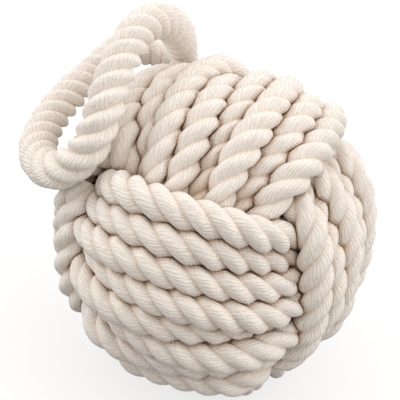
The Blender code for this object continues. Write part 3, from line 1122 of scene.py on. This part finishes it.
@dataclass
class Ball:
    """The wound ball: three sets of turns and the tucked end, each a mesh of its own.

    The strands' crests stand out further than the knot's round rope by a factor for each.
    """

    crests: tuple = (1.46, 1.41, 1.43, 1.40)
    names: tuple = ("first_turns", "second_turns", "third_turns", "tucked_end")
    first_seed: int = 11

    def ropes(self, knot: WoundKnot) -> list[LaidRope]:
        """Lay the rope of each set, the twist of each carrying on from the one before.

        Args:
            knot: The knot, drawn tight.

        Returns:
            The ropes of the three sets and of the tucked end, traced.
        """
        made = []
        run = 0.0
        for index, (start, end) in enumerate(knot.spans):
            start -= 1 if index else 0
            end += 1 if index < 2 else 2
            rope = self.length_of(knot, index, start, end)
            rope.seed = self.first_seed + index
            rope.phase = math.tau * run / rope.lay[0]
            rope.trace()
            run += float(rope.run[-1])
            made.append(rope)
        tucked = self.length_of(knot, 3, knot.back_start + 1, len(knot.points))
        tucked.trace()
        return [*made, tucked]

    def length_of(self, knot: WoundKnot, index: int, start: int, end: int) -> LaidRope:
        """Give one length of the knot's rope.

        Args:
            knot: The knot.
            index: Which of the ball's pieces it is.
            start: The knot's first point in it.
            end: The knot's first point after it.

        Returns:
            The rope, not traced yet.
        """
        points = knot.points[start:end]
        radii = knot.radii[start:end] * self.crests[index] * HandTied().swell(points)
        name = f"laid_{self.names[index]}"
        return LaidRope(name, points + np.array(BALL_MIDDLE), radii, Lay.ROWS.value)

    def build(self, ropes: list[LaidRope], press: StrandPress, finish: bpy.types.Material) -> list:
        """Make the meshes and put each on the ball's body.

        Args:
            ropes: The ropes of the ball.
            press: What flattens their strands against other turns.
            finish: Their material.

        Returns:
            The pieces.
        """
        made = []
        for rope, node in zip(ropes, self.names):
            piece = rope.build(press, True)
            piece.data.materials.append(finish)
            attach(piece, "ball")
            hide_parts(node)
            LOG.info("%s: %.2f m of rope", rope.name, rope.run[-1])
            made.append(piece)
        return made


@dataclass
class SandBag:
    """The bag in the middle: gathered canvas, the sand in it and twine round its neck."""

    radius: float = 0.0375
    wall: float = 0.0012
    neck: float = 0.0090
    neck_foot: float = 0.0285
    neck_drop: float = 0.0010
    neck_rises: tuple = (0.0010, 0.0040, 0.0035)
    neck_flare: float = 1.12
    pleats: int = 14
    pleat_depth: float = 0.05
    pleat_reach: float = 0.016
    sand_gap: float = 0.0006
    sand_drop: float = 0.0045
    sand_rough: float = 0.006
    heap_inset: float = 0.004
    heap_rise: float = 0.0006
    twine: float = 0.0016
    twine_turns: float = 3.2
    twine_points: int = 72
    twine_bite: float = 0.0001
    twine_foot: float = 0.0026
    twine_pitch: float = 0.98
    twine_step: float = 0.0005

    def add_bag(self) -> bpy.types.Object:
        """Model the bag: a round whose top is drawn in to a pleated neck.

        Returns:
            The bag.
        """
        bag = self.add_round("sewn_bag", self.radius, (84, 40))
        shoulder = self.neck_foot - self.neck_drop
        self.cut_above(bag, shoulder, False)
        drawn_in = self.neck / math.sqrt(self.radius**2 - shoulder**2)
        bpy.ops.object.mode_set(mode="EDIT")
        for width, rise in zip((drawn_in, 1.0, self.neck_flare), self.neck_rises):
            bpy.ops.mesh.extrude_edges_move(TRANSFORM_OT_translate={"value": (0.0, 0.0, rise)})
            bpy.ops.transform.resize(
                value=(width, width, 1.0), center_override=(BALL_MIDDLE[0], BALL_MIDDLE[1], 0.0)
            )
        bpy.ops.object.mode_set(mode="OBJECT")
        for vertex in bag.data.vertices:
            gather = max(0.0, 1.0 - abs(vertex.co.z - self.neck_foot) / self.pleat_reach)
            turn = math.atan2(vertex.co.y, vertex.co.x)
            pull = 1.0 - self.pleat_depth * gather * (1.0 + math.cos(self.pleats * turn))
            vertex.co.x *= pull
            vertex.co.y *= pull
        self.finish_modifiers(bag, self.wall)
        return self.settle(bag, "core_bag", "bag", CanvasCloth().build())

    def add_sand(self) -> bpy.types.Object:
        """Model the sand: it fills the bag and lies in a low heap under the neck.

        Returns:
            The sand.
        """
        sand = self.add_round("loose_sand", self.radius - self.wall - self.sand_gap, (64, 32))
        self.cut_above(sand, self.neck_foot - self.sand_drop, True)
        rng = np.random.default_rng(5)
        for vertex in sand.data.vertices:
            vertex.co *= 1.0 - self.sand_rough * rng.random()
        self.finish_modifiers(sand, 0.0)
        return self.settle(sand, "sand_fill", "sand", DrySand().build())

    def add_tie(self) -> bpy.types.Object:
        """Wind the twine round the neck.

        Returns:
            The twine.
        """
        turns = np.linspace(0.0, math.tau * self.twine_turns, self.twine_points)
        ring = self.neck + 0.5 * self.twine - self.twine_bite
        height = self.neck_foot + self.twine_foot + turns / math.tau * self.twine * self.twine_pitch
        points = np.stack((ring * np.cos(turns), ring * np.sin(turns), height), axis=1)
        points += np.array(BALL_MIDDLE)
        radii = np.full(len(points), 0.5 * self.twine)
        section = StrandSection(0.54, 6)
        rope = LaidRope("neck_twine", points, radii, Lay.TWINE.value, section, self.twine_step)
        rope.trace()
        return self.settle(rope.build(None, False), "bag_tie", "tie", JUTE.build())

    @staticmethod
    def add_round(name: str, radius: float, faces: tuple) -> bpy.types.Object:
        """Add a round at the ball's middle to start a piece from.

        Args:
            name: The piece's name.
            radius: Its radius.
            faces: How many faces it has round and up.

        Returns:
            The piece.
        """
        bpy.ops.object.select_all(action="DESELECT")
        bpy.ops.mesh.primitive_uv_sphere_add(
            segments=faces[0], ring_count=faces[1], radius=radius, location=BALL_MIDDLE
        )
        bpy.context.object.name = name
        return bpy.context.object

    def cut_above(self, piece: bpy.types.Object, height: float, close: bool) -> None:
        """Cut a piece off level and leave the rim selected.

        Args:
            piece: The piece, which is the active one.
            height: Where it is cut, above the ball's middle.
            close: Whether the cut is closed with a low heap.
        """
        bpy.ops.object.mode_set(mode="EDIT")
        bpy.ops.mesh.select_all(action="SELECT")
        bpy.ops.mesh.bisect(
            plane_co=(0.0, 0.0, BALL_MIDDLE[2] + height),
            plane_no=(0.0, 0.0, 1.0),
            use_fill=close,
            clear_outer=True,
        )
        if close:
            bpy.ops.mesh.inset(thickness=self.heap_inset)
            bpy.ops.transform.translate(value=(0.0, 0.0, self.heap_rise))
        bpy.ops.object.mode_set(mode="OBJECT")

    @staticmethod
    def finish_modifiers(piece: bpy.types.Object, wall: float) -> None:
        """Give a piece its wall and a smoother surface.

        Args:
            piece: The piece.
            wall: How thick its wall is, or 0 where it is full.
        """
        if wall:
            shell = piece.modifiers.new("wall", "SOLIDIFY")
            shell.thickness = wall
            shell.offset = -1.0
            bpy.ops.object.modifier_apply(modifier=shell.name)
        smooth = piece.modifiers.new("smooth", "SUBSURF")
        smooth.levels = 1
        bpy.ops.object.modifier_apply(modifier=smooth.name)
        bpy.ops.object.shade_smooth()

    @staticmethod
    def settle(
        piece: bpy.types.Object, node: str, slot: str, finish: bpy.types.Material
    ) -> bpy.types.Object:
        """Put a finished piece in the frame, on the ball's body, in place of its solid.

        Args:
            piece: The piece.
            node: The solid's node.
            slot: The material slot.
            finish: The material.

        Returns:
            The piece.
        """
        piece.data.transform(piece.matrix_world)
        piece.matrix_world = Matrix.Identity(4)
        piece.data.materials.append(finish)
        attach(piece, "ball")
        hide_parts(node)
        return piece


@dataclass
class Studio:
    """The camera at the photograph's angle, the white floor and the soft light.

    The camera's distance is to the ball's middle. The lamps are each a name, a place, a size
    and a power.
    """

    right: tuple = (0.9480, 0.2835, 0.1450)
    up: tuple = (-0.2680, 0.4643, 0.8441)
    distance: float = 0.550
    pixels_per_mm: float = 2.067
    ball_pixel: tuple = (211.7, 225.8)
    sensor: float = 36.0
    sees_from: float = 0.05
    sees_to: float = 20.0
    floor_radius: float = 3.0
    floor_colour: str = "#8C8C8C"
    floor_lift: float = 0.72
    sky: float = 0.95
    sky_colour: tuple = (1.0, 0.955, 0.908, 1.0)
    lamps: tuple = (
        ("top", (0.05, 0.25, 1.3), 2.6, 6.3),
        ("left", (-1.4, -0.2, 0.7), 1.2, 8.0),
        ("right", (1.4, 0.2, 0.7), 1.2, 6.2),
    )

    def add_camera(self) -> None:
        """Place the camera."""
        right = Vector(self.right).normalized()
        up = Vector(self.up)
        up = (up - up.dot(right) * right).normalized()
        back = right.cross(up)
        place = Matrix((right, up, back)).transposed().to_4x4()
        place.translation = Vector(BALL_MIDDLE) + back * self.distance
        data = bpy.data.cameras.new("camera")
        data.sensor_width = self.sensor
        data.lens = self.sensor * self.distance * 1000.0 * self.pixels_per_mm / IMAGE_SIZE
        data.shift_x = 0.5 - self.ball_pixel[0] / IMAGE_SIZE
        data.shift_y = self.ball_pixel[1] / IMAGE_SIZE - 0.5
        data.clip_start = self.sees_from
        data.clip_end = self.sees_to
        camera = bpy.data.objects.new("camera", data)
        camera.matrix_world = place
        bpy.context.scene.collection.objects.link(camera)
        bpy.context.scene.camera = camera

    def add_floor(self) -> None:
        """Lay a floor that the camera sees white, with the object's shadow on it."""
        bpy.ops.object.select_all(action="DESELECT")
        bpy.ops.mesh.primitive_circle_add(vertices=64, radius=self.floor_radius, fill_type="NGON")
        floor = bpy.context.object
        floor.name = "floor"
        made = new_material("white paper")
        tree = made.node_tree
        rays = add_node(tree, "LightPath")
        seen = rays["Is Camera Ray"]
        for other in ("Is Glossy Ray", "Is Transmission Ray"):
            seen = add_node(tree, "Math", (seen, rays[other]), operation="MAXIMUM")[0]
        surface = {
            "Base Color": linear(self.floor_colour),
            "Roughness": 1.0,
            "Specular IOR Level": 0.0,
            "Emission Color": WHITE,
            "Emission Strength": add_node(tree, "Math", (seen, self.floor_lift), operation="MULTIPLY")[0],
        }
        feed(tree, tree.nodes["Principled BSDF"], surface)
        floor.data.materials.append(made)

    def add_light(self) -> None:
        """Light the object softly from all round, more from above."""
        scene = bpy.context.scene
        world = bpy.data.worlds.new("soft studio")
        scene.world = world
        world.use_nodes = True
        tree = world.node_tree
        seen = add_node(tree, "LightPath")["Is Camera Ray"]
        sides = {MIX_FACTOR: seen, MIX_FIRST: self.sky_colour, MIX_SECOND: WHITE}
        strength = (seen, 1.0 - self.sky, self.sky)
        sky = {
            "Color": add_node(tree, "Mix", sides, data_type="RGBA")[MIXED],
            "Strength": add_node(tree, "Math", strength, operation="MULTIPLY_ADD")[0],
        }
        feed(tree, tree.nodes["Background"], sky)
        for name, place, size, power in self.lamps:
            data = bpy.data.lights.new(name, "AREA")
            data.shape = "DISK"
            data.size = size
            data.energy = power
            lamp = bpy.data.objects.new(name, data)
            lamp.location = place
            aim = Vector(BALL_MIDDLE) - Vector(place)
            lamp.rotation_euler = aim.to_track_quat("-Z", "Y").to_euler()
            scene.collection.objects.link(lamp)
        scene.view_settings.view_transform = "Standard"


def main() -> None:
    """Build the doorstop's looks around the frame."""
    logging.basicConfig(level=logging.INFO, format="%(name)s: %(message)s")
    studio = Studio()
    studio.add_camera()
    cotton = COTTON.build()
    knot = WoundKnot()
    knot.draw_tight()
    ball = Ball()
    ropes = ball.ropes(knot)
    loop = CarryLoop()
    loop_rope = loop.rope()
    press = StrandPress([*ropes, loop_rope])
    pieces = [loop.build(loop_rope, press, cotton), *ball.build(ropes, press, cotton)]
    bag = SandBag()
    pieces += [bag.add_bag(), bag.add_sand(), bag.add_tie()]
    for piece in pieces:
        LOG.info("%s: %d faces", piece.name, len(piece.data.polygons))
    studio.add_floor()
    studio.add_light()


if __name__ == "__main__":
    main()
